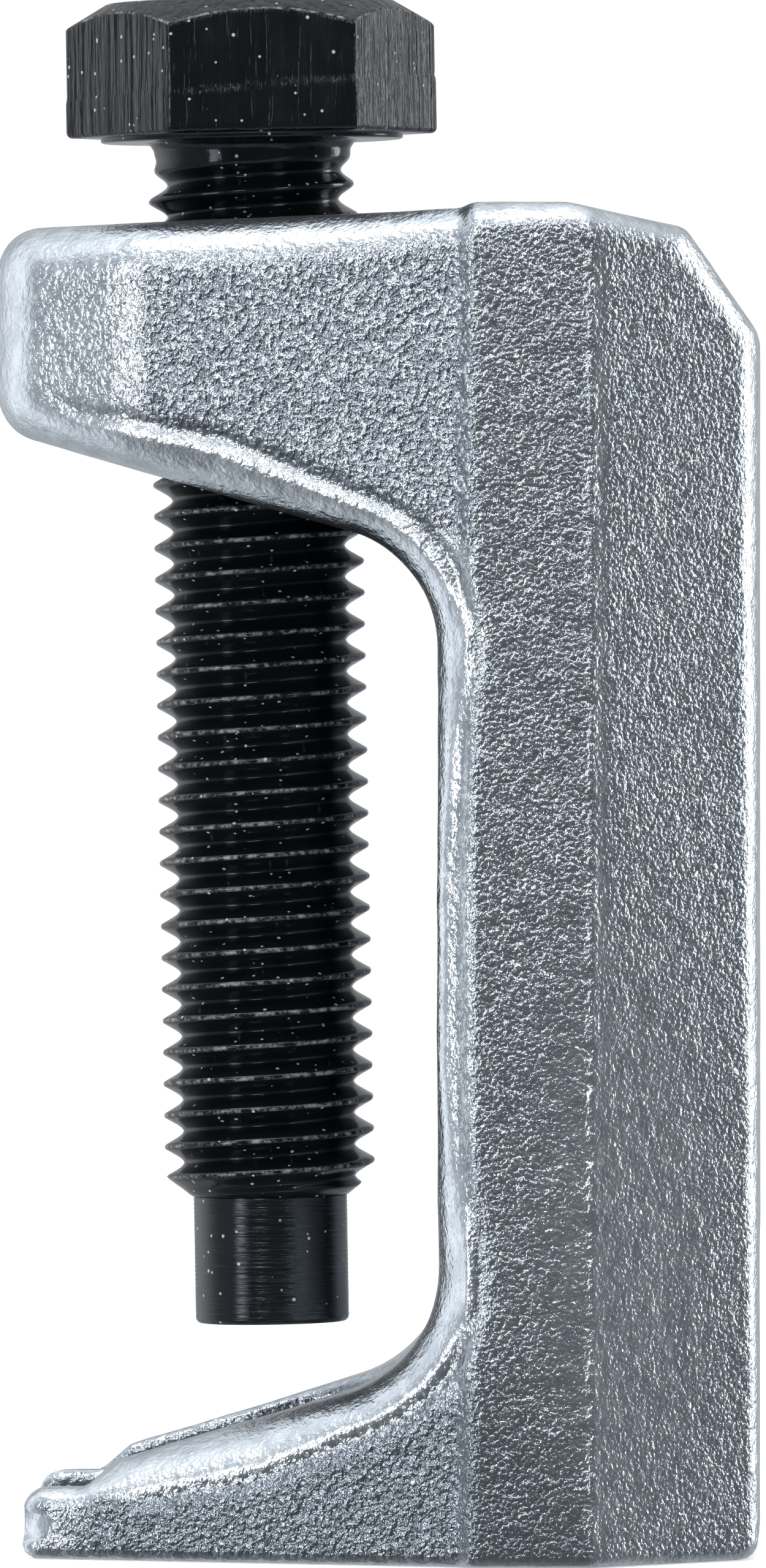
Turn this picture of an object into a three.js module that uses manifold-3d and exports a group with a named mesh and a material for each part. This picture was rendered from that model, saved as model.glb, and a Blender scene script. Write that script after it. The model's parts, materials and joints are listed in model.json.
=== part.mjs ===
// Screw clamp of the ball-joint-separator form: a one-piece C frame whose foot is a fork,
// and a hex-headed pressure screw with a plain dog point. Millimetres, +Z up.
// The origin is under the middle of the whole part, on the plane that the foot stands on.

import * as THREE from 'three';
import { mergeVertices } from 'three/addons/utils/BufferGeometryUtils.js';
import Module from 'manifold-3d';

const wasm = await Module();
wasm.setup();

// ---- Driving dimensions ----

const FRAME_HEIGHT = 90;
const FRAME_DEPTH = 51;            // nose to back, along X
const FRAME_WIDTH = 44.6;          // across the two flat cheeks, along Y
const CHEEK_FRONT = 6.8;           // X where the tapered sides meet the flat cheeks
const CHEEK_BACK = 14.6;           // X of the sharp ridge behind the cheeks
const BACK_FACE_WIDTH = 24.4;
const SIDE_TAPER = 0.3146;         // half-width lost per mm from the cheeks towards the nose

const SPINE_INNER = 4.4;           // X of the throat side of the spine
const THROAT_TOP = 66.6;           // Z where the arm's underside line meets the spine
const UNDERSIDE_RISE = 0.285;      // rise of the arm's underside per mm towards the nose
const RAMP_FALL = 0.298;           // fall of the foot's ramp per mm towards the toe
const ARM_TOP_FALL = 0.033;        // fall of the arm's top per mm towards the nose
const ARM_TOP_AT_CHEEK = 89.6;
const UPPER_THROAT_RADIUS = 8.1;
const LOWER_THROAT_RADIUS = 8.7;
const NOSE_CHAMFER_START = -15.2;  // X where the arm's sides turn in towards the nose
const NOSE_FRONT_WIDTH = 17.6;

const TOE = -23.4;                 // X of the fork's tip
const TOE_THICKNESS = 4.7;
const TOE_LEDGE = 4.2;             // length of the flat ledge at the tip
const RAMP_START = { x: -17.2, z: 6.5 };

const FORK_GAP = 19;
const FORK_ROOT = -7.2;            // X of the centre of the fork's round end

const LEAN = THREE.MathUtils.degToRad(1);   // the screw's tip leans towards the spine
const BORE_X = -8.3;               // the screw's axis where it passes through the arm
const BORE_Z = 80;
const THREAD_DIAMETER = 14.1;
const THREAD_CLEARANCE = 0.3;      // all round, between the thread and its bore

const TIP_Z = 15.2;                // height of the screw's tip, measured along its axis
const DOG_DIAMETER = 10.3;
const DOG_LENGTH = 8.5;
const DOG_CHAMFER = 0.45;
const NODE_GAP = 0.3;              // between the dog point and the shank
const SHOULDER_LENGTH = 1.2;
const WASHER_FACE_DIAMETER = 20.3;
const WASHER_FACE_THICKNESS = 0.35;
const HEAD_UNDERSIDE_Z = 94.9;
const HEAD_TOP_Z = 103.9;
const HEAD_ACROSS_FLATS = 21.7;
const HEAD_TURN = THREE.MathUtils.degToRad(6.2);
const HEAD_CHAMFER_ANGLE = THREE.MathUtils.degToRad(30);
const HEAD_TOP_FLAT_DIAMETER = 20;

const ROUND_STEPS = 64;            // facets round a full circle
const ARC_STEPS = 5;               // curve segments in each rounded corner

// ---- Geometry helpers ----

// A closed geometry becomes a solid that can be cut and joined.
function toSolid(geometry) {
  const bare = geometry.clone();
  bare.deleteAttribute('normal');
  bare.deleteAttribute('uv');
  const merged = mergeVertices(bare, 1e-4);
  return new wasm.Manifold(new wasm.Mesh({
    numProp: 3,
    vertProperties: new Float32Array(merged.attributes.position.array),
    triVerts: new Uint32Array(merged.index.array),
  }));
}

function toGeometry(solid) {
  const { vertProperties, triVerts } = solid.getMesh();
  const geometry = new THREE.BufferGeometry();
  geometry.setAttribute('position', new THREE.BufferAttribute(new Float32Array(vertProperties), 3));
  geometry.setIndex(new THREE.BufferAttribute(new Uint32Array(triVerts), 1));
  geometry.computeVertexNormals();
  return geometry;
}

// A counter-clockwise outline from its corners [x, y, radius]: each corner with a radius
// becomes the arc that is tangent to its two sides.
function roundedShape(corners) {
  const shape = new THREE.Shape();
  corners.forEach(([x, y, radius = 0], i) => {
    const corner = new THREE.Vector2(x, y);
    const before = new THREE.Vector2(...corners.at(i - 1));
    const after = new THREE.Vector2(...corners[(i + 1) % corners.length]);
    const toBefore = before.sub(corner).normalize();
    const toAfter = after.sub(corner).normalize();
    if (radius === 0) {
      if (i === 0) shape.moveTo(x, y);
      else shape.lineTo(x, y);
      return;
    }
    const half = Math.acos(THREE.MathUtils.clamp(toBefore.dot(toAfter), -1, 1)) / 2;
    const start = corner.clone().addScaledVector(toBefore, radius / Math.tan(half));
    const end = corner.clone().addScaledVector(toAfter, radius / Math.tan(half));
    const middle = toBefore.add(toAfter).normalize();
    const centre = corner.clone().addScaledVector(middle, radius / Math.sin(half));
    const startAngle = Math.atan2(start.y - centre.y, start.x - centre.x);
    const endAngle = Math.atan2(end.y - centre.y, end.x - centre.x);
    const cross = (corner.x - start.x) * (end.y - corner.y) - (corner.y - start.y) * (end.x - corner.x);
    if (i === 0) shape.moveTo(start.x, start.y);
    shape.absarc(centre.x, centre.y, radius, startAngle, endAngle, cross < 0);
  });
  return shape;
}

// An outline in the XZ plane, as a slab across the frame's full width.
function sideSlab(corners) {
  const geometry = new THREE.ExtrudeGeometry(roundedShape(corners), {
    depth: FRAME_WIDTH,
    bevelEnabled: false,
    curveSegments: ARC_STEPS,
  });
  geometry.rotateX(Math.PI / 2);
  geometry.translate(0, FRAME_WIDTH / 2, 0);
  return toSolid(geometry);
}

// An outline in the XY plane, as a column from one height to another.
function planColumn(corners, bottom, top) {
  const geometry = new THREE.ExtrudeGeometry(roundedShape(corners), {
    depth: top - bottom,
    bevelEnabled: false,
    curveSegments: ARC_STEPS,
  });
  geometry.translate(0, 0, bottom);
  return toSolid(geometry);
}

// Corners given for +Y, going towards +X, closed by their mirror images.
function mirroredInY(corners) {
  const below = corners.map(([x, y, radius]) => [x, -y, radius]);
  return [...below, ...[...corners].reverse()];
}

function cylinderAlongZ(radius, bottom, top) {
  const geometry = new THREE.CylinderGeometry(radius, radius, top - bottom, ROUND_STEPS);
  geometry.rotateX(Math.PI / 2);
  geometry.translate(0, 0, (top + bottom) / 2);
  return geometry;
}

// A turned piece about Z, from its profile [radius, z], which starts and ends on the axis.
function turned(profile) {
  const points = profile.map(([radius, z]) => new THREE.Vector2(radius, z));
  const geometry = new THREE.LatheGeometry(points, ROUND_STEPS);
  geometry.rotateX(Math.PI / 2);
  return toSolid(geometry);
}

// ---- The C frame ----

function frameSideOutline() {
  const nose = -FRAME_DEPTH / 2;
  const back = FRAME_DEPTH / 2;
  const rampFoot = RAMP_START.z + RAMP_FALL * (SPINE_INNER - RAMP_START.x);
  return [
    [TOE, 0, 1],
    [back, 0, 1.2],
    [back, 81.5, 2],
    [20.7, 88.4, 1.5],
    [13, FRAME_HEIGHT, 1],
    [CHEEK_FRONT, FRAME_HEIGHT],
    [CHEEK_FRONT - 0.8, ARM_TOP_AT_CHEEK],
    [nose, ARM_TOP_AT_CHEEK + ARM_TOP_FALL * (nose - CHEEK_FRONT), 3],
    [nose, THROAT_TOP + UNDERSIDE_RISE * (SPINE_INNER - nose), 3.5],
    [SPINE_INNER, THROAT_TOP, UPPER_THROAT_RADIUS],
    [SPINE_INNER, rampFoot, LOWER_THROAT_RADIUS],
    [RAMP_START.x, RAMP_START.z, 1.5],
    [TOE + TOE_LEDGE, TOE_THICKNESS, 0.8],
    [TOE, TOE_THICKNESS, 2.2],
  ];
}

// The cheeks, the ridge and the receding back corners are the same at every height.
function backCorners() {
  return [
    [CHEEK_FRONT, FRAME_WIDTH / 2, 0.8],
    [CHEEK_BACK, FRAME_WIDTH / 2],
    [FRAME_DEPTH / 2, BACK_FACE_WIDTH / 2, 1.5],
  ];
}

function armPlan() {
  const chamferStart = FRAME_WIDTH / 2 - SIDE_TAPER * (CHEEK_FRONT - NOSE_CHAMFER_START);
  return mirroredInY([
    [-FRAME_DEPTH / 2, NOSE_FRONT_WIDTH / 2, 3],
    [NOSE_CHAMFER_START, chamferStart, 1.5],
    ...backCorners(),
  ]);
}

function footPlan() {
  const toeHalfWidth = FRAME_WIDTH / 2 - SIDE_TAPER * (CHEEK_FRONT - TOE);
  return mirroredInY([
    [TOE, toeHalfWidth, 2.6],
    ...backCorners(),
  ]);
}

function forkGap() {
  const radius = FORK_GAP / 2;
  const shape = new THREE.Shape();
  shape.moveTo(TOE - 2, -radius);
  shape.lineTo(FORK_ROOT, -radius);
  shape.absarc(FORK_ROOT, 0, radius, -Math.PI / 2, Math.PI / 2, false);
  shape.lineTo(TOE - 2, radius);
  const gap = new THREE.ExtrudeGeometry(shape, {
    depth: SPINE_INNER + FRAME_HEIGHT / 2,
    bevelEnabled: false,
    curveSegments: ROUND_STEPS / 4,
  });
  gap.translate(0, 0, -2);
  return toSolid(gap);
}

function screwBore() {
  const radius = THREAD_DIAMETER / 2 + THREAD_CLEARANCE;
  const bore = cylinderAlongZ(radius, -25, 25);
  bore.rotateY(-LEAN);
  bore.translate(BORE_X, 0, BORE_Z);
  return toSolid(bore);
}

function frameGeometry() {
  const middle = FRAME_HEIGHT / 2;
  const plan = planColumn(armPlan(), middle, FRAME_HEIGHT + 1)
    .add(planColumn(footPlan(), -1, middle));
  const solid = sideSlab(frameSideOutline())
    .intersect(plan)
    .subtract(forkGap())
    .subtract(screwBore());
  return toGeometry(solid);
}

// ---- The pressure screw, along its own axis, with Z measured from the bore's middle ----

const alongAxis = (z) => z - BORE_Z;

function hexHead() {
  const corner = HEAD_ACROSS_FLATS / Math.sqrt(3);
  const shape = new THREE.Shape();
  for (let i = 0; i < 6; i += 1) {
    const angle = HEAD_TURN + i * Math.PI / 3;
    const point = [corner * Math.cos(angle), corner * Math.sin(angle)];
    if (i === 0) shape.moveTo(...point);
    else shape.lineTo(...point);
  }
  const prism = new THREE.ExtrudeGeometry(shape, {
    depth: HEAD_TOP_Z - HEAD_UNDERSIDE_Z,
    bevelEnabled: false,
  });
  prism.translate(0, 0, alongAxis(HEAD_UNDERSIDE_Z));
  const reach = corner + 2;
  const drop = (reach - HEAD_TOP_FLAT_DIAMETER / 2) * Math.tan(HEAD_CHAMFER_ANGLE);
  const chamfer = turned([
    [0, alongAxis(HEAD_UNDERSIDE_Z) - 1],
    [reach, alongAxis(HEAD_UNDERSIDE_Z) - 1],
    [reach, alongAxis(HEAD_TOP_Z) - drop],
    [HEAD_TOP_FLAT_DIAMETER / 2, alongAxis(HEAD_TOP_Z)],
    [0, alongAxis(HEAD_TOP_Z)],
  ]);
  return toSolid(prism).intersect(chamfer);
}

function screwGeometry() {
  const shankStart = alongAxis(TIP_Z + DOG_LENGTH);
  const underside = alongAxis(HEAD_UNDERSIDE_Z);
  const washerBottom = underside - WASHER_FACE_THICKNESS;
  const shank = turned([
    [0, shankStart],
    [DOG_DIAMETER / 2 + 0.3, shankStart],
    [THREAD_DIAMETER / 2, shankStart + SHOULDER_LENGTH],
    [THREAD_DIAMETER / 2, washerBottom],
    [WASHER_FACE_DIAMETER / 2, washerBottom],
    [WASHER_FACE_DIAMETER / 2, underside + 0.5],
    [0, underside + 0.5],
  ]);
  return toGeometry(shank.add(hexHead()));
}

function dogPointGeometry() {
  const tip = alongAxis(TIP_Z);
  const radius = DOG_DIAMETER / 2;
  return toGeometry(turned([
    [0, tip],
    [radius - DOG_CHAMFER, tip],
    [radius, tip + DOG_CHAMFER],
    [radius, tip + DOG_LENGTH - NODE_GAP],
    [0, tip + DOG_LENGTH - NODE_GAP],
  ]));
}

// ---- Materials and assembly ----

const zincPlate = new THREE.MeshStandardMaterial({ color: 0xaeb6bb, roughness: 0.38, metalness: 1 });
const blackOxide = new THREE.MeshStandardMaterial({ color: 0x15161a, roughness: 0.42, metalness: 0.8 });

function namedMesh(name, geometry, material) {
  const mesh = new THREE.Mesh(geometry, material);
  mesh.name = name;
  return mesh;
}

const screwAxis = new THREE.Group();
screwAxis.position.set(BORE_X, 0, BORE_Z);
screwAxis.rotation.y = -LEAN;
screwAxis.add(
  namedMesh('pressure_screw', screwGeometry(), blackOxide),
  namedMesh('screw_dog_point', dogPointGeometry(), blackOxide.clone()),
);

const clamp = new THREE.Group();
clamp.add(namedMesh('c_frame', frameGeometry(), zincPlate), screwAxis);

export default clamp;
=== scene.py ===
"""A forged, zinc-plated screw clamp with a forked foot and a black pressure screw.

Shapes are worked out in millimetres and written to their meshes in metres. Three pieces stand
for the plain CAD nodes: the forged frame, the threaded screw and its dog point.
"""

import json
import math

import bpy
import numpy as np
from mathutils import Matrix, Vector


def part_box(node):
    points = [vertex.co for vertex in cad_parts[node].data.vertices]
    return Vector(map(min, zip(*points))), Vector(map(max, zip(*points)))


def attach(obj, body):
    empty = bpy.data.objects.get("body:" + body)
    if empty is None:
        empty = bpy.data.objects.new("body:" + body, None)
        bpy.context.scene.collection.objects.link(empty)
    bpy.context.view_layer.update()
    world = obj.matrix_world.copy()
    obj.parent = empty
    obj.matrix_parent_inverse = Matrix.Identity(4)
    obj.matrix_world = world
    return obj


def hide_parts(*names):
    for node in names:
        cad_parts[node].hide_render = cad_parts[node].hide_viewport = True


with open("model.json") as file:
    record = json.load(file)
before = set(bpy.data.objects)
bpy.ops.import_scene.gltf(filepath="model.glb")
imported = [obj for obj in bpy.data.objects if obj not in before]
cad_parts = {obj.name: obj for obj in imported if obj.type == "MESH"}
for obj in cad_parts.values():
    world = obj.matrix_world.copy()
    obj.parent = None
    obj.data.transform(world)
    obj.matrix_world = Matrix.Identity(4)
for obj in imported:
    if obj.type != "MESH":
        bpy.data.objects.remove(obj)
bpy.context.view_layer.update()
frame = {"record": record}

MM = 0.001

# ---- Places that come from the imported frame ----

behaviour = frame["record"]["behaviour"]
turn_joint = next(j for j in behaviour["joints"] if j["name"] == "screw_turn")
AXIS_UP = np.array(turn_joint["axis"], float)
AXIS_UP /= np.linalg.norm(AXIS_UP)
AXIS_POINT = np.array(turn_joint["pos_m"]) / MM     # where the screw's axis passes the arm
PITCH = math.tau / behaviour["couplings"][0]["ratio"] / MM
FRAME_LOW, FRAME_HIGH = (np.array(corner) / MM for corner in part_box("c_frame"))
NOSE_X, BACK_X = FRAME_LOW[0], FRAME_HIGH[0]
HALF_WIDTH = FRAME_HIGH[1]
TOP_Z = FRAME_HIGH[2]

# ---- The forging's own dimensions ----

CHEEK_FRONT = 6.8                  # X where the tapered sides meet the flat cheeks
CHEEK_BACK = 14.6                  # X of the trimmed ridge behind the cheeks
SIDE_TAPER = 0.3146                # half-width lost per mm towards the nose
CHEEK_STEP = 0.5                   # how far the tapered sides stand in from the cheeks
BACK_SLOPE = (HALF_WIDTH - 12.2) / (BACK_X - CHEEK_BACK)
CHAMFER_START = -15.2              # X where the arm's sides turn in to the nose
CHAMFER_SLOPE = 0.64
SPINE_X = 4.4                      # throat side of the spine
THROAT_TOP = 66.6
ARM_TOP = 89.6                     # where the arm's top meets the cheeks' raised pad
ARM_TOP_FALL = 0.033
UNDERSIDE_RISE = 0.285
RAMP_X, RAMP_Z, RAMP_FALL = -17.2, 6.5, 0.298
TOE_X, TOE_Z = -23.4, 4.7
FORK_HALF_GAP = 9.5
FORK_ROOT_X = -7.2
MID_HEIGHT = 40                    # between the arm's plan and the foot's
NET_STEP = 0.455                   # spacing of the forging's mesh

# ---- The screw's dimensions, with heights measured along its axis from AXIS_POINT ----

CREST_RADIUS = 7.05
ROOT_RADIUS = 5.72
CREST_HEIGHT = 1.04                # a height where the crest passes the side facing the spine
BORE_CLEARANCE = 0.14
MOUTH_HEIGHT = 9.1                 # of the arm's top round the bore
MOUTH_RADIUS = 7.6                 # of the bore's countersink there, for the thread's run-out
MOUTH_SLOPE = 0.35
DOG_RADIUS = 5.15
TIP = 15.2 - AXIS_POINT[2]
DOG_TOP = TIP + 8.5
RUN_OUT_START = 90.0 - AXIS_POINT[2]
RUN_OUT_END = 93.9 - AXIS_POINT[2]
COLLAR_RADIUS = 6.6
HEAD_UNDER = 94.9 - AXIS_POINT[2]
HEAD_TOP = 103.9 - AXIS_POINT[2]
WASHER_RADIUS = 10.15
WASHER_THICKNESS = 0.35
HEAD_FLAT = 10.85                  # half of the size across flats
HEAD_CORNER = 12.48                # radius of its slightly blunt corners
HEAD_TURN = math.radians(6.2)
TRIM_HEIGHT = 3.2                  # of the line left by the die, above the head's underside
TRIM_STEP = 0.07                   # how far the faces stand back above that line
TRIM_NOTCH = 0.04                  # and how deep the line itself is
HEAD_CIRCLE = 9.6                  # radius where the head's chamfer meets its top
HEAD_CONE = math.radians(30)
HEAD_EDGE = 0.4                    # radius of the edge round the head's underside
COLLAR_FILLET = 0.8                # radius between the collar and the washer face
COLUMNS_PER_FLAT = 24
ROWS_PER_PITCH = 14
ROWS_PER_FACE = 26                 # up the sides of the head

FRONT_OF_ROOM = 0.20               # brightness of the room in front of the object


# ---- Arrays ----

def smoothstep(low, high, value):
    """0 below low, 1 above high, and 3t^2 - 2t^3 between."""
    t = np.clip((value - low) / (high - low), 0, 1)
    return t * t * (3 - 2 * t)


def soft_max(a, b, width):
    """The larger of two values, eased by a parabola where they are within width."""
    return np.maximum(a, b) + np.maximum(width - np.abs(a - b), 0) ** 2 / (4 * width)


def soft_min(a, b, width):
    return -soft_max(-a, -b, width)


def round_max(a, b, radius):
    """The distance to two faces that meet in an edge rounded to that radius."""
    return np.minimum(np.maximum(a, b), -radius) + np.hypot(
        np.maximum(a + radius, 0), np.maximum(b + radius, 0))


def lattice_noise(x, y, z, size, seed):
    """Value noise from -1 to 1: random numbers on a lattice of that size, blended smoothly."""
    table = np.random.default_rng(seed).uniform(-1, 1, (64, 64, 64))
    lows, blends = [], []
    for value in (x, y, z):
        scaled = value / size + 1000.0
        low = np.floor(scaled)
        part = scaled - low
        lows.append(low.astype(int))
        blends.append(part * part * (3 - 2 * part))
    total = 0.0
    for corner in range(8):
        bits = [corner >> k & 1 for k in range(3)]
        weight = 1.0
        for bit, blend in zip(bits, blends):
            weight = weight * (blend if bit else 1 - blend)
        index = tuple((low + bit) % 64 for bit, low in zip(bits, lows))
        total = total + weight * table[index]
    return total


# ---- Meshes ----

def welded(points, quads):
    """Points less than a micron apart become one. A quad that loses a corner becomes a triangle,
    and one that loses more goes."""
    keys = np.round(points * 1000).astype(np.int64)
    _, first, new = np.unique(keys, axis=0, return_index=True, return_inverse=True)
    quads = new.reshape(-1)[quads]
    repeats = quads == np.roll(quads, -1, axis=1)
    lost = repeats.sum(axis=1)
    triangles = quads[lost == 1][~repeats[lost == 1]].reshape(-1, 3)
    return first, quads[lost == 0], triangles


def grid_quads(rows, columns, slip=0):
    """Quads of a grid closed round its columns. With slip, the last column joins the first one
    that many rows higher, as the turns of a helix do."""
    row, column = np.meshgrid(np.arange(rows - 1), np.arange(columns), indexing="ij")
    step = np.where(column == columns - 1, slip, 0)
    right = (column + 1) % columns
    low = np.minimum(row + step, rows - 1)
    high = np.minimum(row + 1 + step, rows - 1)
    corners = [row * columns + column, low * columns + right,
               high * columns + right, (row + 1) * columns + column]
    return np.stack(corners, axis=-1).reshape(-1, 4)


def new_piece(name, points, faces, material, values):
    """A smooth-shaded mesh at the origin, from points in millimetres and lists of faces, with
    the named numbers that its material reads at each point."""
    mesh = bpy.data.meshes.new(name)
    mesh.from_pydata(points * MM, [], [face for part in faces for face in part.tolist()])
    mesh.polygons.foreach_set("use_smooth", np.ones(len(mesh.polygons), bool))
    for key, numbers in values.items():
        layer = mesh.attributes.new(key, "FLOAT", "POINT")
        layer.data.foreach_set("value", np.asarray(numbers, np.float32))
    mesh.materials.append(material)
    piece = bpy.data.objects.new(name, mesh)
    bpy.context.collection.objects.link(piece)
    return piece


# ---- The thread, shared by the screw and its bore ----

def thread_rise(phase):
    """How far the thread stands above its root, from 0 to 1, at a phase along one pitch: a
    60 degree V with its crest at 0, rounded wide at the root and narrow at the crest."""
    tooth = np.abs(2 * (phase % 1.0) - 1)
    depth = CREST_RADIUS - ROOT_RADIUS
    height = tooth * PITCH / 2 * math.sqrt(3) - 0.3
    return soft_min(soft_max(height, 0, 0.5), depth, 0.1) / depth


def along_axis(x, y, z):
    """Height along the screw's axis, radius from it and angle round it."""
    dx, dz = x - AXIS_POINT[0], z - AXIS_POINT[2]
    side = dx * AXIS_UP[2] - dz * AXIS_UP[0]
    return dx * AXIS_UP[0] + dz * AXIS_UP[2], np.hypot(side, y), np.arctan2(y, side)


def from_axis(height, radius, angle):
    """Points at that height along the screw's axis, radius from it and angle round it."""
    side = radius * np.cos(angle)
    return np.stack([
        AXIS_POINT[0] + height * AXIS_UP[0] + side * AXIS_UP[2],
        radius * np.sin(angle),
        AXIS_POINT[2] + height * AXIS_UP[2] - side * AXIS_UP[0],
    ], axis=-1)


# ---- The forged frame ----

def outline_corners():
    """Corners of the frame's side outline, going round from the toe's underside: X, Z, corner
    radius, then how far the rounded edge reaches across the width and in from the outline, and
    how far the corner belongs to the trimmed band round the throat. Where the radius is 0 the
    outline runs straight and only the edge changes."""
    def arm_top(x):
        return ARM_TOP + ARM_TOP_FALL * (x - CHEEK_FRONT)

    def underside(x):
        return THROAT_TOP + UNDERSIDE_RISE * (SPINE_X - x)

    def ramp(x):
        return RAMP_Z + RAMP_FALL * (x - RAMP_X)

    return np.array([
        (TOE_X, 0, 1.0, 0.6, 0.5, 0),
        (TOE_X + 2.5, 0, 0, 0.6, 0.5, 0),
        (BACK_X, 0, 1.2, 0.6, 0.5, 0),
        (BACK_X, 81.5, 2.0, 1.6, 1.3, 0),
        (20.7, 88.4, 1.5, 2.0, 1.6, 0),
        (13.0, TOP_Z, 1.0, 2.0, 1.6, 0),
        (CHEEK_FRONT, TOP_Z, 0.5, 2.6, 1.9, 0),
        (CHEEK_FRONT - 0.9, ARM_TOP, 0.8, 2.9, 2.2, 0),
        (0.0, arm_top(0.0), 0, 3.6, 2.9, 0),
        (NOSE_X, arm_top(NOSE_X), 3.2, 4.6, 3.4, 0),
        (NOSE_X, underside(NOSE_X), 3.6, 4.6, 3.0, 0),
        (-20.5, underside(-20.5), 0, 4.2, 2.8, 0.8),
        (-11.0, underside(-11.0), 0, 4.2, 3.7, 1),
        (SPINE_X, THROAT_TOP, 8.1, 3.6, 2.6, 0.9),
        (SPINE_X, 47, 0, 1.6, 1.1, 0.3),
        (SPINE_X, 33, 0, 1.6, 1.1, 0.3),
        (SPINE_X, ramp(SPINE_X), 8.7, 4.6, 2.9, 0.9),
        (-8.0, ramp(-8.0), 0, 6.0, 3.7, 0.7),
        (RAMP_X, RAMP_Z, 1.5, 4.2, 3.0, 0.6),
        (TOE_X + 4.2, TOE_Z, 0.8, 1.8, 1.2, 0.2),
        (TOE_X, TOE_Z, 1.7, 1.6, 1.1, 0),
        (TOE_X, 3.0, 0, 2.8, 2.4, 0),
        (TOE_X, 1.5, 0, 2.8, 2.4, 0),
    ])


def rounded_outline(corners, steps=14):
    """The outline's points: each corner becomes an arc of its radius, tangent to both sides."""
    place = corners[:, :2]
    before = np.roll(place, 1, axis=0) - place
    after = np.roll(place, -1, axis=0) - place
    before /= np.linalg.norm(before, axis=1, keepdims=True)
    after /= np.linalg.norm(after, axis=1, keepdims=True)
    half = np.arccos(np.clip((before * after).sum(axis=1), -1, 1)) / 2
    middle = before + after
    middle /= np.maximum(np.linalg.norm(middle, axis=1, keepdims=True), 1e-6)
    radius = corners[:, 2]
    centre = place + middle * (radius / np.sin(half))[:, None]
    start = place + before * (radius / np.tan(half))[:, None] - centre
    end = place + after * (radius / np.tan(half))[:, None] - centre
    sweep = np.maximum(np.pi - 2 * half, 1e-6)
    t = np.linspace(0, 1, steps)[None, :, None]
    angle = sweep[:, None, None]
    arc = (np.sin((1 - t) * angle) * start[:, None] + np.sin(t * angle) * end[:, None])
    points = centre[:, None] + arc / np.sin(angle)
    rest = np.repeat(corners[:, None, 3:], steps, axis=1)
    return np.concatenate([points, rest], axis=2).reshape(-1, 5)


def outline_table(step=0.15, margin=2.0):
    """The signed distance to the outline, negative inside, and the edge values of its nearest
    point, on a fine grid over the side view."""
    outline = rounded_outline(outline_corners())
    low = np.array([NOSE_X - margin, -margin])
    high = np.array([BACK_X + margin, TOP_Z + margin])
    counts = np.ceil((high - low) / step).astype(int) + 1
    x, z = np.meshgrid(*(low[k] + step * np.arange(counts[k]) for k in (0, 1)), indexing="ij")
    nearest = np.full(x.shape, np.inf)
    values = np.zeros((3,) + x.shape)
    inside = np.zeros(x.shape, bool)
    for a, b in zip(outline, np.roll(outline, -1, axis=0)):
        way = b[:2] - a[:2]
        length = max(way @ way, 1e-12)
        t = np.clip(((x - a[0]) * way[0] + (z - a[1]) * way[1]) / length, 0, 1)
        away = np.hypot(x - a[0] - t * way[0], z - a[1] - t * way[1])
        closer = away < nearest
        nearest = np.where(closer, away, nearest)
        for k in range(3):
            values[k] = np.where(closer, a[2 + k] + t * (b[2 + k] - a[2 + k]), values[k])
        if a[1] != b[1]:
            spans = (a[1] > z) != (b[1] > z)
            inside ^= spans & (x < a[0] + (z - a[1]) * way[0] / way[1])
    signed = np.where(inside, -nearest, nearest)
    return low, step, np.concatenate([signed[None], values])


def look_up(table, x, z):
    """The table's values at any X and Z, blended between its nearest four points."""
    low, step, layers = table
    across = np.clip((x - low[0]) / step, 0, layers.shape[1] - 1.001)
    up = np.clip((z - low[1]) / step, 0, layers.shape[2] - 1.001)
    i, j = np.floor(across).astype(int), np.floor(up).astype(int)
    s, t = across - i, up - j
    return (layers[:, i, j] * (1 - s) * (1 - t) + layers[:, i + 1, j] * s * (1 - t)
            + layers[:, i, j + 1] * (1 - s) * t + layers[:, i + 1, j + 1] * s * t)


def side_distance(x, y, z):
    """Distance to the frame's side faces in plan: flat cheeks, sides that step in from them and
    taper to the nose, corners that recede to the back, and on the arm a chamfer to the nose."""
    cheek = np.abs(y) - HALF_WIDTH
    forward = CHEEK_FRONT - x
    taper = cheek + SIDE_TAPER * forward + CHEEK_STEP * smoothstep(0, 1.1, forward)
    taper = taper / math.hypot(1, SIDE_TAPER)
    back = (cheek + BACK_SLOPE * (x - CHEEK_BACK)) / math.hypot(1, BACK_SLOPE)
    nose_loss = SIDE_TAPER * (CHEEK_FRONT - CHAMFER_START)
    chamfer = cheek + nose_loss + CHAMFER_SLOPE * (CHAMFER_START - x)
    chamfer = np.where(z > MID_HEIGHT, chamfer / math.hypot(1, CHAMFER_SLOPE), -50)
    return np.maximum(soft_max(soft_max(cheek, taper, 0.12), chamfer, 0.5), back)


def band_line(distance, inwards, band):
    """1 along the inner edge of the trimmed band, falling to 0 within a millimetre."""
    return band * np.exp(-(((distance + inwards) / 0.48) ** 2))


def fork_gap(x, y, z):
    """How far inside the fork's round-ended gap a point is, negative outside it."""
    round_end = np.hypot(np.maximum(x - FORK_ROOT_X, 0), y)
    return np.where(z < MID_HEIGHT, FORK_HALF_GAP - round_end, -50)


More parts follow.
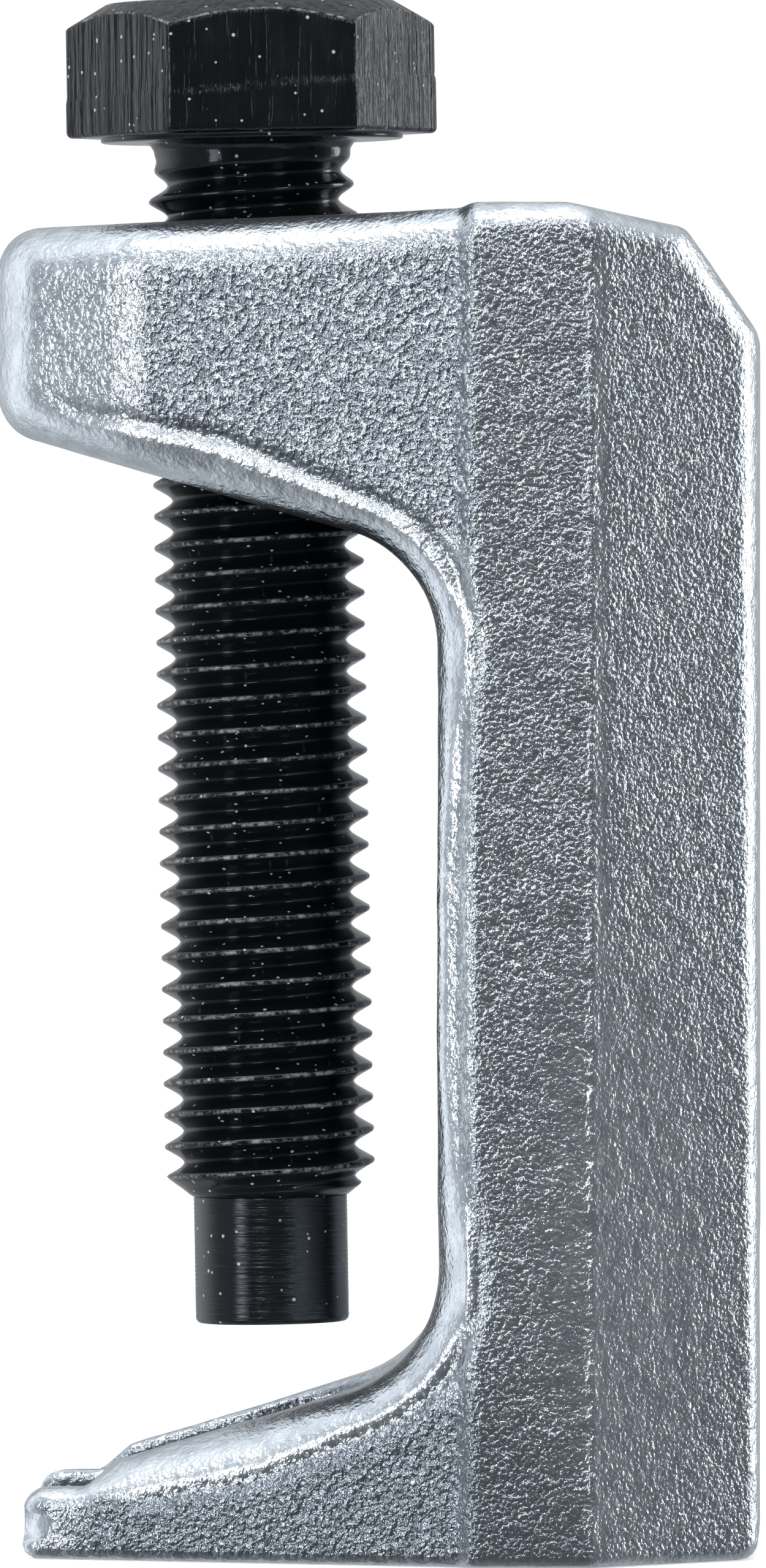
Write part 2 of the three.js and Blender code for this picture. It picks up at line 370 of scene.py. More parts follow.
def forging(table, x, y, z):
    """The frame as a field, in mm, that is negative in the metal and zero on its surface.
    The side outline and the side faces meet in an edge rounded as a quarter ellipse, which is
    the trimmed band round the throat where it is widest; a groove parts the band from the side
    face, a thin ridge of flash stands on the cheeks' back edge, and the fork's gap and the
    threaded bore, countersunk at its top, are taken away."""
    distance, across, inwards, band = look_up(table, x, z)
    side = side_distance(x, y, z)
    inset = 0.22 * band
    edge = inwards * round_max(distance / inwards, (side - inset) / across, 1.0)
    near_side = smoothstep(-1.4, -0.3, side)
    groove = 0.38 * band_line(distance, inwards, band) * near_side
    ragged = 0.5 + 0.5 * np.sin(1.9 * z) * np.sin(0.83 * z + 1)
    flash = 0.05 * ragged * np.exp(-(((x - CHEEK_BACK) / 0.30) ** 2)) * near_side
    flash -= 0.10 * np.exp(-(((x - CHEEK_BACK + 0.5) / 0.30) ** 2)) * near_side
    metal = np.maximum(edge, side) + groove - flash * smoothstep(-1.0, -2.0, distance)
    gap = fork_gap(x, y, z)
    bead = 0.14 * np.exp(-(((gap + 1.5) / 0.3) ** 2)) * smoothstep(-0.8, -0.2, distance)
    metal = round_max(metal + bead, gap, 0.7)
    height, radius, angle = along_axis(x, y, z)
    phase = (height - CREST_HEIGHT) / PITCH - angle / math.tau
    wall = BORE_CLEARANCE + ROOT_RADIUS + (CREST_RADIUS - ROOT_RADIUS) * thread_rise(phase)
    wall = np.maximum(wall, MOUTH_RADIUS + MOUTH_SLOPE * (height - MOUTH_HEIGHT))
    return round_max(metal, np.where(z > MID_HEIGHT, wall - radius, -50), 0.35)


def surface_net(field, low, high, step):
    """A closed quad mesh of the surface where the field is zero: one point in each cell that the
    surface crosses, at the mean of its crossings of the cell's edges, and one quad round each
    grid edge that it crosses."""
    ticks = [np.arange(a, b + step, step) for a, b in zip(low, high)]
    value = field(*np.meshgrid(*ticks, indexing="ij", sparse=True))
    metal = value < 0
    cells = tuple(n - 1 for n in metal.shape)
    corners = np.array([(c >> 2 & 1, c >> 1 & 1, c & 1) for c in range(8)])
    count = np.zeros(cells, np.int8)
    for corner in corners:
        count += metal[tuple(slice(s, s + n) for s, n in zip(corner, cells))]
    crossed = (count > 0) & (count < 8)
    where = np.argwhere(crossed)
    number = np.full(cells, -1)
    number[crossed] = np.arange(len(where))
    at_corner = [value[tuple((where + corner).T)] for corner in corners]
    total, hits = np.zeros((len(where), 3)), np.zeros(len(where))
    for a in range(8):
        for b in range(a + 1, 8):
            if np.abs(corners[a] - corners[b]).sum() == 1:
                hit = (at_corner[a] < 0) != (at_corner[b] < 0)
                gap = np.where(hit, at_corner[a] - at_corner[b], 1)
                t = np.where(hit, at_corner[a] / gap, 0)[:, None]
                total += hit[:, None] * (corners[a] + t * (corners[b] - corners[a]))
                hits += hit
    points = np.array(low) + step * (where + total / hits[:, None])
    quads = []
    for k in range(3):
        along, first, second = np.eye(3, dtype=int)[[k, (k + 1) % 3, (k + 2) % 3]]
        start = metal[tuple(slice(0, n - s) for s, n in zip(along, metal.shape))]
        end = metal[tuple(slice(s, None) for s in along)]
        edge = np.argwhere(start != end)
        ring = np.stack([number[tuple((edge - offset).T)]
                         for offset in (first + second, second, 0 * first, first)], axis=1)
        outward = start[tuple(edge.T)]
        quads += [ring[outward], ring[~outward][:, ::-1]]
    return points, np.concatenate(quads)


def gradient(field, points, reach=0.03):
    """How the field changes along X, Y and Z at each point."""
    parts = []
    for shift in np.eye(3) * reach:
        ahead, behind = (points + shift).T, (points - shift).T
        parts.append((field(*ahead) - field(*behind)) / (2 * reach))
    return np.stack(parts, axis=1)


def drawn_onto(field, points):
    """Points moved onto the surface where the field is zero, by four of Newton's steps, each
    held under a quarter of the mesh's spacing."""
    for _ in range(4):
        slope = gradient(field, points)
        steep = np.maximum((slope ** 2).sum(axis=1), 0.05)
        step = slope * (field(*points.T) / steep)[:, None]
        length = np.linalg.norm(step, axis=1, keepdims=True)
        points = points - step * np.minimum(1, 0.25 * NET_STEP / np.maximum(length, 1e-9))
    return points


def rough_skin(x, z, side, distance, inwards, band):
    """How rough the skin is, from 0 on the trimmed band to 1 on the forged sides. It is
    smoother on the nose, the toe, the spine beside the throat, the cheeks, a worn patch low
    behind them and a strip along their back ridge, and half rough round the outside."""
    starts = 0.45 + 0.5 * band
    ends = starts + 0.75 - 0.6 * band
    skin = smoothstep(starts, ends, -distance / inwards) * smoothstep(-0.9, -0.3, side)
    on_nose = smoothstep(CHAMFER_START + 0.6, CHAMFER_START - 0.6, x) * (z > MID_HEIGHT)
    on_toe = smoothstep(TOE_X + 5.0, TOE_X + 2.5, x) * (z < MID_HEIGHT)
    worn_patch = 1.3 * smoothstep(1.0, 0.3, np.hypot((x - 17) / 9, (z - 22) / 30))
    on_spine = smoothstep(4.5, 3.5, -distance)
    on_spine *= (x > SPINE_X) * (x < CHEEK_FRONT) * smoothstep(74, 66, z) * smoothstep(6, 14, z)
    skin *= 1 - 0.55 * np.max([on_nose, on_toe, worn_patch, on_spine], axis=0)
    skin *= 1 - 0.42 * smoothstep(CHEEK_FRONT - 0.2, CHEEK_FRONT + 0.4, x)
    skin *= 1 - 0.7 * np.exp(-(((x - CHEEK_BACK - 0.6) / 0.5) ** 2))
    outer = 0.6 * smoothstep(-3.0, -4.5, side) * (1 - band) * smoothstep(0.3, 1.0, z)
    return np.maximum(skin, outer * smoothstep(-0.6, -0.2, distance))


def unevenness(x, y, z, skin):
    """How far the die's uneven skin stands out, in mm: small bumps where it is rough and gentle
    waves all over, but nothing at the base or in the bore."""
    bumps = 0.016 * lattice_noise(x, y, z, 1.3, 1) + 0.012 * lattice_noise(x, y, z, 0.8, 2)
    waves = 0.03 * lattice_noise(x, y, z, 6.0, 3) + 0.03 * lattice_noise(x, y, z, 2.2, 4)
    _, radius, _ = along_axis(x, y, z)
    clear_of_bore = np.where(z > MID_HEIGHT, smoothstep(8.0, 9.0, radius), 1)
    return (skin * bumps + waves) * clear_of_bore * smoothstep(0.0, 0.6, z)


def forged_frame(material):
    """The forging: the net of its field, drawn onto the surface, then moved along its normals
    by the unevenness of its skin. The fork's inner walls and the line along the trimmed band
    get painted shade, darker in colour."""
    table = outline_table()

    def field(x, y, z):
        return forging(table, x, y, z)

    margin = 2 * NET_STEP
    points, quads = surface_net(field, FRAME_LOW - margin, FRAME_HIGH + margin, NET_STEP)
    points = drawn_onto(field, points)
    normal = gradient(field, points)
    normal /= np.maximum(np.linalg.norm(normal, axis=1, keepdims=True), 1e-9)
    x, y, z = points.T
    distance, _, inwards, band = look_up(table, x, z)
    side = side_distance(x, y, z)
    skin = rough_skin(x, z, side, distance, inwards, band)
    # Painted shade, read by the material: the fork's inner walls and the groove inside the
    # trimmed band.
    in_fork = 0.8 * smoothstep(-0.5, -0.2, fork_gap(x, y, z)) * (x < SPINE_X)
    line = 0.75 * band_line(distance, inwards, band) * smoothstep(-1.4, -0.6, side)
    shade = np.maximum(in_fork, line)
    points = points + normal * unevenness(x, y, z, skin)[:, None]
    return new_piece("forged_frame", points, [quads], material, {"skin": skin, "shade": shade})


# ---- The pressure screw ----

def screw_angles():
    """Angles round the screw, in radians, drawn together at the head's six corners."""
    t = np.arange(6 * COLUMNS_PER_FLAT) / COLUMNS_PER_FLAT
    eased = t - 0.8 * np.sin(math.tau * t) / math.tau
    return HEAD_TURN + eased * math.pi / 3


def thread_rows(angles):
    """The shank from its end disc to the collar: rows follow the helix, so the crest runs along
    them, and are held between the two plain ends. The radius is the root's plus the thread's
    rise, kept under the shoulder's cone below and fading into the collar above."""
    turns_below = math.ceil((CREST_HEIGHT - DOG_TOP) / PITCH) + 1
    base = CREST_HEIGHT - turns_below * PITCH
    count = math.ceil(((RUN_OUT_END - base) / PITCH + 1) * ROWS_PER_PITCH) + 1
    row = np.arange(count)[:, None] / ROWS_PER_PITCH
    around = (angles - angles[0])[None, :] / math.tau
    free = base + PITCH * (row + around + angles[0] / math.tau - 1)
    phase = row + 0 * around
    height = np.clip(free, DOG_TOP, RUN_OUT_END)
    fade = smoothstep(RUN_OUT_START, RUN_OUT_END - 1.0, height)
    root = ROOT_RADIUS + (COLLAR_RADIUS - ROOT_RADIUS) * smoothstep(
        RUN_OUT_START + 2.0, RUN_OUT_END, height)
    crest = CREST_RADIUS + (COLLAR_RADIUS - CREST_RADIUS) * fade
    rise = thread_rise(phase) * (1 - fade) + (0.5 + 0.5 * np.cos(math.tau * phase)) * fade
    nicks = 0.03 * lattice_noise(np.cos(angles) * 7, np.sin(angles) * 7, free, 0.9, 5)
    radius = root + (crest - root + nicks) * rise
    cone = DOG_RADIUS + 0.05 + (height - DOG_TOP) * 1.3
    radius = soft_min(radius, cone, 0.3)
    ends = (free <= DOG_TOP) | (free >= RUN_OUT_END)
    radius = np.where(free <= DOG_TOP, DOG_RADIUS, radius)
    radius = np.where(free >= RUN_OUT_END, COLLAR_RADIUS, radius)
    return height, radius, thread_rise(phase) * (1 - 0.5 * fade) * ~ends


def head_rows(angles):
    """The collar, washer face and hex head up to the middle of its top, as rows of height and
    radius. The hexagon's radius at an angle is its flat's distance over the cosine of the angle
    from the flat's middle; its top is cut by a 30 degree cone, and a notched trim line runs
    round its sides, above which the faces stand back a little."""
    off_flat = (angles - HEAD_TURN) % (math.pi / 3) - math.pi / 6
    hexagon = soft_min(HEAD_FLAT / np.cos(off_flat), HEAD_CORNER, 0.12)
    cone_top = HEAD_TOP - (hexagon - HEAD_CIRCLE) * math.tan(HEAD_CONE)
    trim = HEAD_UNDER + TRIM_HEIGHT + 0.5 * np.cos(angles) + 0.25 * lattice_noise(
        np.cos(angles) * 11, np.sin(angles) * 11, 0 * angles, 3.1, 7)
    one = np.ones_like(angles)
    # Wear and painted highlight down the head's corners; the rows below add it along the edge
    # where the faces meet the top chamfer.
    edge = np.exp(-(((hexagon - HEAD_CORNER) / 0.1) ** 2))
    washer_low = HEAD_UNDER - WASHER_THICKNESS
    turn = np.linspace(0, math.pi / 2, 5)[1:]
    rows = [(washer_low - COLLAR_FILLET * (1 - math.sin(a)),
             COLLAR_RADIUS + COLLAR_FILLET * (1 - math.cos(a)), 0) for a in turn]
    rows += [(washer_low, WASHER_RADIUS - 0.15, 0), (washer_low + 0.05, WASHER_RADIUS - 0.03, 0),
             (washer_low + 0.15, WASHER_RADIUS, 0), (HEAD_UNDER, WASHER_RADIUS, 0)]
    rows = [(h * one, r * one, wear_and_highlight * one) for h, r, wear_and_highlight in rows]
    for a in np.concatenate([[0], turn]):
        rows.append((HEAD_UNDER + HEAD_EDGE * (1 - math.cos(a)) * one,
                     hexagon - HEAD_EDGE * (1 - math.sin(a)), 0 * one))
    for share in np.linspace(0, 1, ROWS_PER_FACE):
        arris = max(0, share * ROWS_PER_FACE - (ROWS_PER_FACE - 1))
        height = HEAD_UNDER + HEAD_EDGE + share * (cone_top - 0.12 - HEAD_UNDER - HEAD_EDGE)
        above = smoothstep(-0.12, 0.12, height - trim)
        notch = TRIM_NOTCH * np.exp(-(((height - trim) / 0.18) ** 2))
        rows.append((height, hexagon - TRIM_STEP * above - notch, np.maximum(edge, arris)))
    for share in (0.04, 0.1, 0.5, 0.96):
        radius = hexagon - TRIM_STEP + share * (HEAD_CIRCLE - hexagon + TRIM_STEP)
        rows.append((cone_top + share * (HEAD_TOP - cone_top) - 0.02, radius,
                     (share < 0.05) * one))
    for radius, sink in ((HEAD_CIRCLE - 0.15, 0.0), (8.9, 0.0), (8.5, 0.12), (4.0, 0.12),
                         (0.0, 0.12)):
        rows.append(((HEAD_TOP - sink) * one, radius * one, 0 * one))
    return [np.stack(part) for part in zip(*rows)]


def threaded_screw(material):
    """The screw's shank and head as one closed grid of rows and columns, from the disc at the
    shank's end to the middle of the head."""
    angles = screw_angles()
    thread_height, thread_radius, crest = thread_rows(angles)
    head_height, head_radius, edge = head_rows(angles)
    bottom = np.array([[0.0], [DOG_RADIUS * 0.6]]) + 0 * angles
    height = np.concatenate([0 * bottom + DOG_TOP, thread_height, head_height])
    radius = np.concatenate([bottom, thread_radius, head_radius])
    # The crests and the head's edges, worn and given a painted highlight in the material.
    wear_and_highlight = np.concatenate([0 * bottom, crest, edge]).ravel()
    lined = smoothstep(HEAD_UNDER, HEAD_UNDER + 0.2, height.ravel())
    points = from_axis(height, radius, angles[None, :]).reshape(-1, 3)
    columns = len(angles)
    low, high = 2 * columns, (2 + len(thread_height)) * columns
    quads = np.concatenate([
        grid_quads(3, columns),
        grid_quads(len(thread_height), columns, ROWS_PER_PITCH) + low,
        grid_quads(len(head_height) + 1, columns) + high - columns,
    ])
    kept, quads, triangles = welded(points, quads)
    return new_piece("threaded_screw", points[kept], [quads, triangles], material,
                     {"wear_and_highlight": wear_and_highlight[kept], "lined": lined[kept]})


def dog_point(material):
    """The dog point, turned about the screw's axis: a flat end with a rounded edge, a side with
    faint turned rings, and a flat top just under the shank."""
    angles = np.linspace(0, math.tau, 96, endpoint=False)
    turn = np.linspace(0, math.pi / 2, 6)
    corner = 0.42
    side = np.linspace(TIP + corner, DOG_TOP - 0.03, 90)[1:]
    rings = 0.008 * np.sin(side * 21) + 0.006 * np.sin(side * 47)
    height = np.concatenate([[TIP, TIP], TIP + corner * (1 - np.cos(turn)), side,
                             [DOG_TOP - 0.01] * 3])
    radius = np.concatenate([[0, 3], DOG_RADIUS - corner * (1 - np.sin(turn)),
                             DOG_RADIUS + rings, [DOG_RADIUS - 0.02, 3, 0]])
    height, radius = height[:, None] + 0 * angles, radius[:, None] + 0 * angles
    points = from_axis(height, radius, angles[None, :]).reshape(-1, 3)
    kept, quads, triangles = welded(points, grid_quads(len(height), len(angles)))
    rims = np.exp(-(((height - TIP - 0.1) / 0.15) ** 2)).ravel()
    return new_piece("dog_point", points[kept], [quads, triangles], material,
                     {"wear_and_highlight": rims[kept], "lined": np.ones(len(kept))})


# ---- Materials ----

# Painted shade for the grain's hollows and painted highlight for its crests.
ZINC_HOLLOW_SHADE, ZINC_CREST_HIGHLIGHT = (0.22, 0.25, 0.29, 1), (0.74, 0.80, 0.87, 1)
ZINC_SMUDGE, ZINC_BAND = (0.62, 0.68, 0.74, 1), (0.80, 0.86, 0.92, 1)
# A dark tone for random stains and for painted shade, and near white for nicks and painted
# glints.
ZINC_STAIN_AND_SHADE, ZINC_NICK_AND_GLINT = (0.20, 0.23, 0.26, 1), (0.95, 0.96, 0.97, 1)
OXIDE_THICK, OXIDE_THIN = (0.0012, 0.0015, 0.002, 1), (0.005, 0.006, 0.007, 1)
# Lighter steel for wear and for a painted highlight on crests and edges; pale specks of dust.
WORN_STEEL_AND_HIGHLIGHT, PALE_SPECK = (0.20, 0.21, 0.23, 1), (0.55, 0.56, 0.58, 1)


class Nodes:
    """A node tree filled in by short calls. Each call gives back the new node's output."""

    def __init__(self, tree):
        self.tree = tree
        tree.nodes.clear()

    def put(self, socket, value):
        if isinstance(value, bpy.types.NodeSocket):
            self.tree.links.new(value, socket)
        else:
            socket.default_value = value

    def node(self, kind, inputs, **settings):
        made = self.tree.nodes.new(kind)
        for key, value in settings.items():
            setattr(made, key, value)
        for key, value in inputs.items():
            self.put(made.inputs[key], value)
        return made

    def sum(self, operation, *values):
        inputs = dict(enumerate(values))
        return self.node("ShaderNodeMath", inputs, operation=operation).outputs[0]

    def mask(self, value, low, high):
        inputs = {"Value": value, "From Min": low, "From Max": high}
        made = self.node("ShaderNodeMapRange", inputs, interpolation_type="SMOOTHSTEP")
        return made.outputs[0]

    def colour(self, factor, first, second):
        inputs = {0: factor, 6: first, 7: second}
        return self.node("ShaderNodeMix", inputs, data_type="RGBA").outputs[2]

    def noise(self, place, size, detail=2.0, roughness=0.5, distortion=0.0):
        """Noise from about 0 to 1 with features of that size, in mm."""
        inputs = {"Vector": place, "Scale": 1 / (size * MM), "Detail": detail,
                  "Roughness": roughness, "Distortion": distortion}
        return self.node("ShaderNodeTexNoise", inputs).outputs[0]

    def place(self, stretch=(1, 1, 1)):
        """The point on the piece, in metres, stretched along each axis."""
        here = self.node("ShaderNodeTexCoord", {}).outputs["Object"]
        if stretch == (1, 1, 1):
            return here
        inputs = {"Vector": here, "Scale": stretch}
        return self.node("ShaderNodeMapping", inputs).outputs[0]

    def attribute(self, name):
        return self.node("ShaderNodeAttribute", {}, attribute_name=name).outputs["Fac"]

    def group(self, tree, inputs):
        made = self.tree.nodes.new("ShaderNodeGroup")
        made.node_tree = tree
        for key, value in inputs.items():
            self.put(made.inputs[key], value)
        return made.outputs[0]


def new_group(name, inputs, output):
    """A shader node group with those input values and one output, and the nodes inside it."""
    tree = bpy.data.node_groups.new(name, "ShaderNodeTree")
    for key, kind, value in inputs:
        socket = tree.interface.new_socket(key, in_out="INPUT", socket_type=kind)
        if value is not None:
            socket.default_value = value
    tree.interface.new_socket(output, in_out="OUTPUT", socket_type="NodeSocketFloat")
    nodes = Nodes(tree)
    given = nodes.node("NodeGroupInput", {}).outputs
    return tree, nodes, given, nodes.node("NodeGroupOutput", {}).inputs[0]


def specks_group():
    """Small round specks: cells of a Voronoi pattern near their centres, in a share of them."""
    tree, nodes, given, out = new_group("specks", [
        ("Place", "NodeSocketVector", None),
        ("Scale", "NodeSocketFloat", 1000.0),
        ("Radius", "NodeSocketFloat", 0.2),
        ("Share", "NodeSocketFloat", 0.1),
    ], "Mask")
    cells = nodes.node("ShaderNodeTexVoronoi",
                       {"Vector": given["Place"], "Scale": given["Scale"]})
    chance = nodes.node("ShaderNodeSeparateColor", {"Color": cells.outputs["Color"]}).outputs[0]
    chosen = nodes.sum("LESS_THAN", chance, given["Share"])
    reach = nodes.sum("MULTIPLY", given["Radius"], 0.6)
    near = nodes.mask(cells.outputs["Distance"], given["Radius"], reach)
    nodes.put(out, nodes.sum("MULTIPLY", chosen, near))
    return tree


def grain_group():
    """The pebbled grain of a rough skin: rounded bumps between creases, broken up by finer
    ones. The height runs from about 0 to 1."""
    tree, nodes, given, out = new_group("grain", [
        ("Place", "NodeSocketVector", None),
        ("Scale", "NodeSocketFloat", 2000.0),
    ], "Height")
    swirl = {"Vector": given["Place"], "Scale": given["Scale"], "Detail": 2.0,
             "Roughness": 0.55, "Distortion": 0.3}
    broad = nodes.node("ShaderNodeTexNoise", swirl).outputs[0]
    finer = nodes.sum("MULTIPLY", given["Scale"], 0.8)
    cells = nodes.node("ShaderNodeTexVoronoi", {
        "Vector": given["Place"], "Scale": finer, "Smoothness": 0.6}, feature="SMOOTH_F1")
    pebbles = nodes.sum("SUBTRACT", 1.0, cells.outputs["Distance"])
    nodes.put(out, nodes.sum("MULTIPLY_ADD", pebbles, 0.45,
                             nodes.sum("MULTIPLY", broad, 0.9)))
    return tree


def new_material(name):
    material = bpy.data.materials.new(name)
    material.use_nodes = True
    return material, Nodes(material.node_tree)


def finish_material(nodes, shader):
    nodes.node("ShaderNodeOutputMaterial", {"Surface": shader.outputs[0]})


def zinc_plated_steel(specks, grain):
    """Bright zinc plate on a forging: cool grey metal, glossy on the pebbled skin and satin on
    the trimmed bands, with painted shade in the grain's hollows and painted highlight on its
    crests, darker in random patches and a little on the cheeks, with painted shade in the fork,
    along the trimmed band's groove and low down, and with small bright specks that are nicks and
    painted glints."""
    material, nodes = new_material("zinc_plated_steel")
    place = nodes.place()
    skin = nodes.attribute("skin")
    x, _, z = nodes.node("ShaderNodeSeparateXYZ", {0: place}).outputs
    on_cheek = nodes.sum("GREATER_THAN", x, (CHEEK_FRONT - 0.1) * MM)
    finer = nodes.sum("MULTIPLY_ADD", on_cheek, 700.0, 2900.0)
    height = nodes.group(grain, {"Place": place, "Scale": finer})
    patches = nodes.noise(place, 9.0, 3.0)
    # Small bright specks: nicks and painted glints.
    bright = nodes.group(specks, {"Place": place, "Scale": 420.0, "Radius": 0.10,
                                  "Share": 0.10})
    # Painted shade in the grain's hollows and painted highlight on its crests.
    hollow = nodes.mask(height, 0.62, 0.92)
    skin_colour = nodes.colour(hollow, ZINC_HOLLOW_SHADE, ZINC_CREST_HIGHLIGHT)
    smudges = nodes.mask(nodes.noise(place, 1.6, 3.0, 0.6), 0.35, 0.65)
    band_colour = nodes.colour(smudges, ZINC_SMUDGE, ZINC_BAND)
    colour = nodes.colour(skin, band_colour, skin_colour)
    # Painted shade low down, in front of the cheeks' back ridge, on the rough skin.
    low = nodes.mask(z, 20 * MM, 4 * MM)
    forward = nodes.mask(x, (CHEEK_BACK + 0.5) * MM, (CHEEK_BACK - 0.5) * MM)
    painted_shade_low = nodes.sum("MULTIPLY", nodes.sum("MULTIPLY", low, forward), skin)
    darker = nodes.sum("MULTIPLY_ADD", patches, 0.3, nodes.sum("MULTIPLY", painted_shade_low, 0.65))
    darker = nodes.sum("MULTIPLY_ADD", on_cheek, 0.12, darker)
    # Painted shade from the frame: the fork's inner walls and the groove inside the trimmed
    # band.
    darker = nodes.sum("MAXIMUM", darker, nodes.attribute("shade"))
    stained_and_shaded = nodes.colour(darker, colour, ZINC_STAIN_AND_SHADE)
    final = nodes.colour(bright, stained_and_shaded, ZINC_NICK_AND_GLINT)
    rough = nodes.sum("MULTIPLY_ADD", skin, -0.09, 0.22)
    rough = nodes.sum("MULTIPLY_ADD", patches, 0.08, rough)
    fine = nodes.noise(place, 0.25, 2.0)
    relief = nodes.sum("MULTIPLY", height, nodes.sum("MULTIPLY_ADD", skin, 0.75, 0.25))
    relief = nodes.sum("MULTIPLY_ADD", fine, 0.12, relief)
    relief = nodes.sum("MULTIPLY_ADD", nodes.noise(place, 1.0, 3.0), 0.7, relief)
    bump = nodes.node("ShaderNodeBump", {"Height": relief, "Distance": 0.18 * MM,
                                         "Strength": 1.0})
    shader = nodes.node("ShaderNodeBsdfPrincipled", {
        "Base Color": final, "Metallic": 1.0, "Roughness": rough,
        "Normal": bump.outputs[0]})
    finish_material(nodes, shader)
    return material


def black_oxide(name, specks, streaks, line_depth, grain_depth, satin, gloss):
    """Oiled black oxide: nearly black, half glossy, with fine pale specks, thread crests and
    edges lighter where worn and as a painted highlight, and, where the piece is lined, fine
    lines whose stretch makes them streaks along the axis or rings round it."""
    material, nodes = new_material(name)
    place = nodes.place()
    blotches = nodes.noise(place, 2.5, 3.0)
    dust = nodes.group(specks, {"Place": place, "Scale": 1700.0, "Radius": 0.20,
                                "Share": 0.12})
    flecks = nodes.group(specks, {"Place": place, "Scale": 1050.0, "Radius": 0.15,
                                  "Share": 0.32})
    marks = nodes.sum("MAXIMUM", dust, flecks)
    edges = nodes.attribute("wear_and_highlight")
    wear_noise = nodes.noise(place, 0.6, 4.0, 0.7)
    # Wear and painted highlight on the thread's crests and the head's edges.
    worn = nodes.sum("MULTIPLY", nodes.mask(edges, 0.93, 1.0),
                     nodes.mask(wear_noise, 0.42, 0.7))
    black = nodes.colour(blotches, OXIDE_THICK, OXIDE_THIN)
    colour = nodes.colour(worn, black, WORN_STEEL_AND_HIGHLIGHT)
    final = nodes.colour(nodes.sum("MULTIPLY", marks, 0.6), colour, PALE_SPECK)
    lines = nodes.mask(nodes.noise(nodes.place(streaks), 1.0, 4.0), 0.3, 0.7)
    lines = nodes.sum("MULTIPLY", lines, nodes.attribute("lined"))
    grain = nodes.noise(place, 0.3, 2.0)
    relief = nodes.sum("MULTIPLY_ADD", grain, grain_depth,
                       nodes.sum("MULTIPLY", lines, line_depth))
    bump = nodes.node("ShaderNodeBump", {"Height": relief, "Distance": 0.09 * MM,
                                         "Strength": 1.0})
    rough = nodes.sum("MULTIPLY_ADD", nodes.sum("MULTIPLY", blotches, lines), satin, 0.13)
    shader = nodes.node("ShaderNodeBsdfPrincipled", {
        "Base Color": final, "Metallic": 0.0, "Roughness": rough,
        "Specular IOR Level": gloss, "Specular Tint": (0.82, 0.9, 1.0, 1),
        "Normal": bump.outputs[0]})
    finish_material(nodes, shader)
    return material


# ---- Floor, lights and camera ----

def matt(name, colour):
    """A matt finish that gives off a little light of its own."""
    material, nodes = new_material(name)
    shader = nodes.node("ShaderNodeBsdfPrincipled", {
        "Base Color": colour, "Roughness": 0.9, "Specular IOR Level": 0.1,
        "Emission Color": (1, 1, 1, 1), "Emission Strength": 0.45})
    finish_material(nodes, shader)
    return material


def pale_floor():
    """A round pale floor under the object."""
    angles = np.linspace(0, math.tau, 96, endpoint=False)
    points = np.stack([900 * np.cos(angles), 900 * np.sin(angles), 0 * angles - 0.05], axis=-1)
    mesh = bpy.data.meshes.new("floor")
    mesh.from_pydata(points * MM, [], [list(range(len(angles)))])
    mesh.materials.append(matt("pale_floor", (0.9, 0.9, 0.9, 1)))
    floor = bpy.data.objects.new("floor", mesh)
    bpy.context.collection.objects.link(floor)
    floor.visible_glossy = False


def softbox(name, place, aim, size, power):
    """A rectangular area light at a place, in metres, facing another."""
    light = bpy.data.lights.new(name, "AREA")
    light.shape = "RECTANGLE"
    light.size, light.size_y = size
    light.energy = power
    lamp = bpy.data.objects.new(name, light)
    lamp.location = place
    lamp.rotation_euler = (Vector(aim) - Vector(place)).to_track_quat("-Z", "Y").to_euler()
    bpy.context.collection.objects.link(lamp)


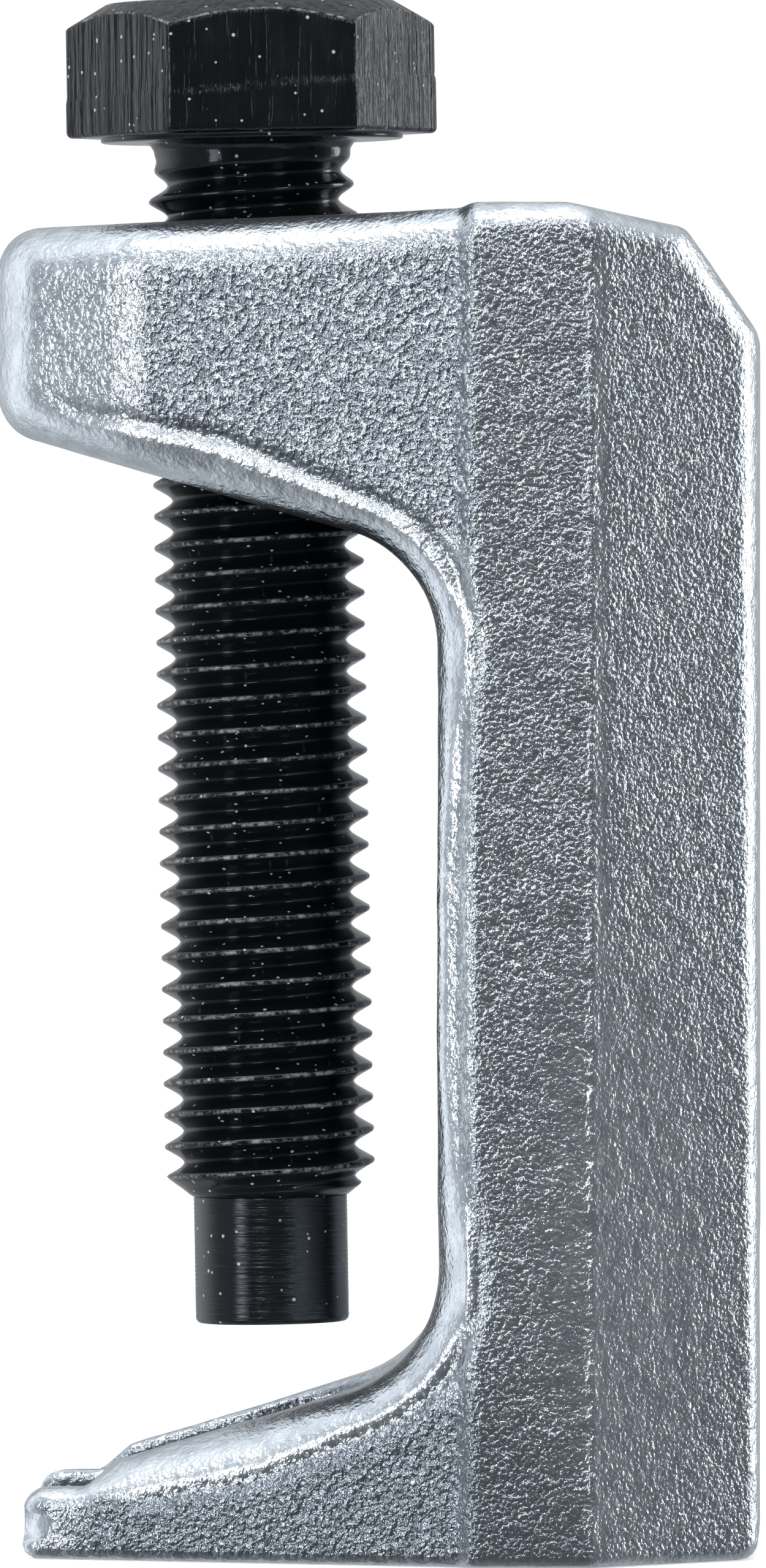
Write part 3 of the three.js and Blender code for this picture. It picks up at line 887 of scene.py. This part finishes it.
def studio():
    """Softboxes at the left, the right and above, in a room that is grey in front and pale
    behind and overhead. The room is white where the camera sees it straight."""
    aim = (0, 0, 0.05)
    softbox("left", (-0.66, -0.66, 0.16), aim, (0.2, 0.6), 2.3)
    softbox("right", (0.75, 0.42, 0.20), aim, (0.22, 0.6), 2.6)
    softbox("front_left", (-0.25, -0.90, 0.55), aim, (0.25, 0.15), 1.6)
    softbox("front_right", (0.55, -0.75, 0.45), aim, (0.2, 0.3), 1.8)
    softbox("top", (-0.1, -0.25, 0.85), aim, (0.8, 0.4), 5.0)
    world = bpy.data.worlds.new("room")
    world.use_nodes = True
    nodes = Nodes(world.node_tree)
    way = nodes.node("ShaderNodeTexCoord", {}).outputs["Generated"]
    x, y, z = nodes.node("ShaderNodeSeparateXYZ", {0: way}).outputs
    behind = nodes.mask(y, -0.15, 0.5)
    to_left = nodes.mask(x, -0.35, -0.95)
    above = nodes.mask(z, 0.35, 0.9)
    behind_left = nodes.sum("MULTIPLY", behind, to_left)
    strength = nodes.sum("MULTIPLY_ADD", behind, 0.34, FRONT_OF_ROOM)
    strength = nodes.sum("MULTIPLY_ADD", behind_left, 0.55, strength)
    strength = nodes.sum("MULTIPLY_ADD", to_left, 0.34, strength)
    strength = nodes.sum("MULTIPLY_ADD", above, 0.6, strength)
    seen = nodes.node("ShaderNodeLightPath", {}).outputs["Is Camera Ray"]
    grey = nodes.node("ShaderNodeBackground", {"Color": (0.94, 0.97, 1.0, 1),
                                               "Strength": strength})
    white = nodes.node("ShaderNodeBackground", {"Color": (1, 1, 1, 1), "Strength": 1.05})
    both = nodes.node("ShaderNodeMixShader",
                      {0: seen, 1: grey.outputs[0], 2: white.outputs[0]})
    nodes.node("ShaderNodeOutputWorld", {"Surface": both.outputs[0]})
    bpy.context.scene.world = world
    bpy.context.scene.view_settings.view_transform = "Standard"


def camera():
    """A level camera far off in front, a little to the right, with its frame shifted down so
    that the object's base and head fill it from edge to edge."""
    distance, eye_height, azimuth = 1.1, 0.0641, math.radians(1.7)
    lens = bpy.data.cameras.new("camera")
    lens.sensor_width = 36
    lens.lens = 375.9
    lens.shift_y = -0.121
    lens.clip_start, lens.clip_end = 0.05, 20
    seen = bpy.data.objects.new("camera", lens)
    centre = 0.00025
    seen.location = (centre + distance * math.sin(azimuth), -distance * math.cos(azimuth),
                     eye_height)
    seen.rotation_euler = (math.pi / 2, 0, azimuth)
    bpy.context.collection.objects.link(seen)
    bpy.context.scene.camera = seen


# ---- The object ----

specks = specks_group()
grain = grain_group()
zinc = zinc_plated_steel(specks, grain)
screw_black = black_oxide("black_oxide_steel", specks, streaks=(1.3, 1.3, 0.08), line_depth=1.3,
                          grain_depth=0.12, satin=0.3, gloss=0.25)
turned_black = black_oxide("turned_black_steel", specks, streaks=(0.1, 0.1, 5.0),
                           line_depth=0.35, grain_depth=0.01, satin=0.05, gloss=0.4)

for piece, body, node, finish in (
    (forged_frame(zinc), "frame", "c_frame", "zinc_plated_steel"),
    (threaded_screw(screw_black), "screw", "pressure_screw", "black_oxide_steel"),
    (dog_point(turned_black), "screw_travel", "screw_dog_point", "black_oxide_steel"),
):
    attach(piece, body)
    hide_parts(node)

pale_floor()
studio()
camera()
